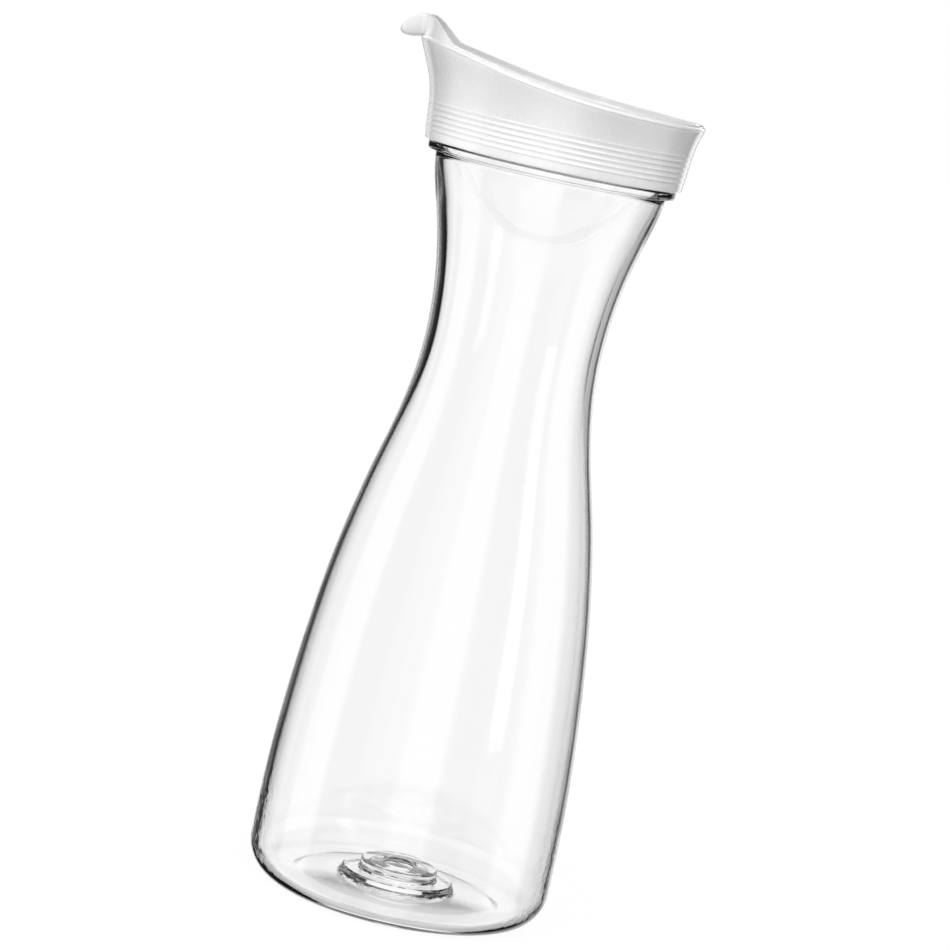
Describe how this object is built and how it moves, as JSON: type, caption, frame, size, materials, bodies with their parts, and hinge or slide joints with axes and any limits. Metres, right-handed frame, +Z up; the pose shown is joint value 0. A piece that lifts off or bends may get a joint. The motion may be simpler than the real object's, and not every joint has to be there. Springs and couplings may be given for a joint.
{
  "type": "decanter",
  "caption": "Clear hourglass decanter with a wide foot, narrow waist and flanged mouth, and a white push-on lid with grip ribs, a slanting rim and a bird-beak pouring lip.",
  "frame": {"origin": "centre of the foot ring, on the surface that the decanter stands on", "axes": "+Z up along the bottle's axis, the pouring beak points to -X, and the XZ plane is the mirror plane"},
  "size_m": [0.1034, 0.097, 0.275],
  "materials": {
    "clear_plastic": "clear, colourless and polished, with thick-wall refraction",
    "white_plastic": "soft-gloss moulded white, very slightly see-through",
    "seal": "matt, soft, milky"
  },
  "bodies": {
    "bottle": {"bottle": "clear_plastic"},
    "seal": {"seal_ring": "seal"},
    "lid": {"lid": "white_plastic"}
  },
  "joints": [
    {"name": "lid_lift", "type": "slide", "parent": "bottle", "child": "seal", "axis": [0, 0, 1], "range_m": [0, 0.04]},
    {"name": "lid_turn", "type": "hinge", "parent": "seal", "child": "lid", "pos_m": [0, 0, 0.245], "axis": [0, 0, 1], "continuous": true}
  ]
}
